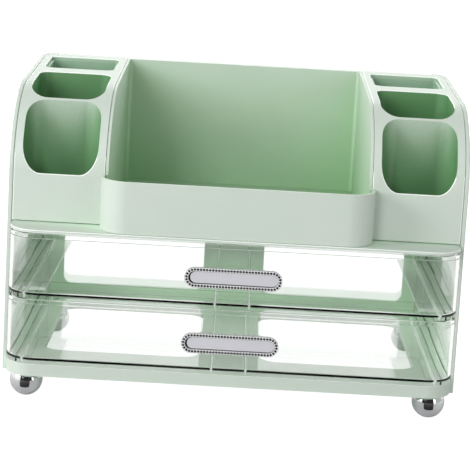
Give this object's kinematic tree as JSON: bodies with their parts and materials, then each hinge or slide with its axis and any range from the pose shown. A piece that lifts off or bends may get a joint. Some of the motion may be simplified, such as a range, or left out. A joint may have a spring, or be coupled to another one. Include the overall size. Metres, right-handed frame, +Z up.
{
  "type": "makeup organizer",
  "caption": "Desktop makeup organizer: clear pull-out drawers with beaded handles below an open bin and slotted side boxes, on chrome ball feet.",
  "frame": {"origin": "middle of the underside: on the table, centred on the overall width and on the overall depth with the handles", "axes": "+Z up, +X to the right seen from the front, +Y to the back; the drawers open towards -Y"},
  "size_m": [0.33, 0.207, 0.2299],
  "materials": {
    "frame_plastic": "satin mint green moulded plastic",
    "box_plastic": "satin mint green moulded plastic",
    "clear_plastic": "clear glossy moulded plastic",
    "handle_metal": "bright plated metal",
    "handle_inlay": "smooth silver-grey plate",
    "handle_beads": "bright beads with dark gaps",
    "foot_chrome": "mirror-bright chrome plating",
    "screw_steel": "zinc-plated screws"
  },
  "bodies": {
    "frame": {"base_tray": "frame_plastic", "left_side_panel": "frame_plastic", "right_side_panel": "frame_plastic", "back_panel": "frame_plastic", "left_drawer_rail": "frame_plastic", "right_drawer_rail": "frame_plastic", "top_shelf": "frame_plastic", "foot_screws": "screw_steel", "front_left_foot": "foot_chrome", "front_right_foot": "foot_chrome", "rear_left_foot": "foot_chrome", "rear_right_foot": "foot_chrome"},
    "bin": {"centre_bin": "box_plastic"},
    "left_block": {"left_compartment_block": "box_plastic"},
    "right_block": {"right_compartment_block": "box_plastic"},
    "upper_drawer_body": {"upper_drawer": "clear_plastic", "upper_handle": "handle_metal", "upper_handle_inlay": "handle_inlay", "upper_handle_beads": "handle_beads", "upper_handle_screws": "screw_steel"},
    "lower_drawer_body": {"lower_drawer": "clear_plastic", "lower_handle": "handle_metal", "lower_handle_inlay": "handle_inlay", "lower_handle_beads": "handle_beads", "lower_handle_screws": "screw_steel"}
  },
  "joints": [
    {"name": "upper_drawer_slide", "type": "slide", "parent": "frame", "child": "upper_drawer_body", "axis": [0, -1, 0], "range_m": [0, 0.15]},
    {"name": "lower_drawer_slide", "type": "slide", "parent": "frame", "child": "lower_drawer_body", "axis": [0, -1, 0], "range_m": [0, 0.15]},
    {"name": "bin_lift", "type": "slide", "parent": "frame", "child": "bin", "axis": [0, 0, 1], "range_m": [0, 0.12]},
    {"name": "left_block_lift", "type": "slide", "parent": "frame", "child": "left_block", "axis": [0, 0, 1], "range_m": [0, 0.12]},
    {"name": "right_block_lift", "type": "slide", "parent": "frame", "child": "right_block", "axis": [0, 0, 1], "range_m": [0, 0.12]}
  ]
}
